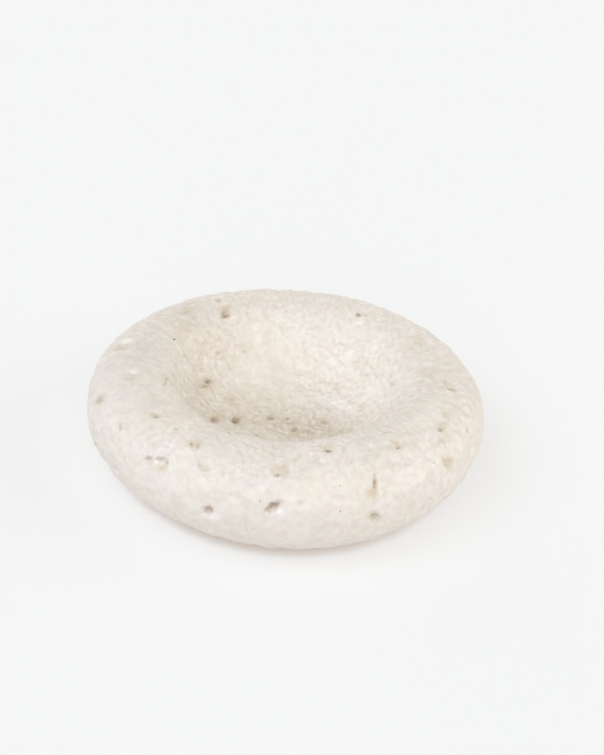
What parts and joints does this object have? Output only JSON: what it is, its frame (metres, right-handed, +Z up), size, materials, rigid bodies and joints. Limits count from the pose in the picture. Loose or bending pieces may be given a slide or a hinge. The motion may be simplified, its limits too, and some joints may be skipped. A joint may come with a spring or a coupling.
{
  "type": "decorative bowl",
  "caption": "Low round bowl with a thick, hollow, doughnut-like rim, a dished basin and a cratered cream glaze, standing on small felt discs.",
  "frame": {"origin": "on the ground, under the middle of the bowl", "axes": "+Z up, along the bowl's own axis; the pictured front faces -Y"},
  "size_m": [0.2018, 0.2005, 0.053],
  "materials": {
    "glaze": "glossy cream glaze, pooled tan in its craters",
    "felt": "pressed wool felt"
  },
  "bodies": {
    "root": {"bowl_body": "glaze", "felt_foot_1": "felt", "felt_foot_2": "felt", "felt_foot_3": "felt", "felt_foot_4": "felt"}
  },
  "joints": []
}
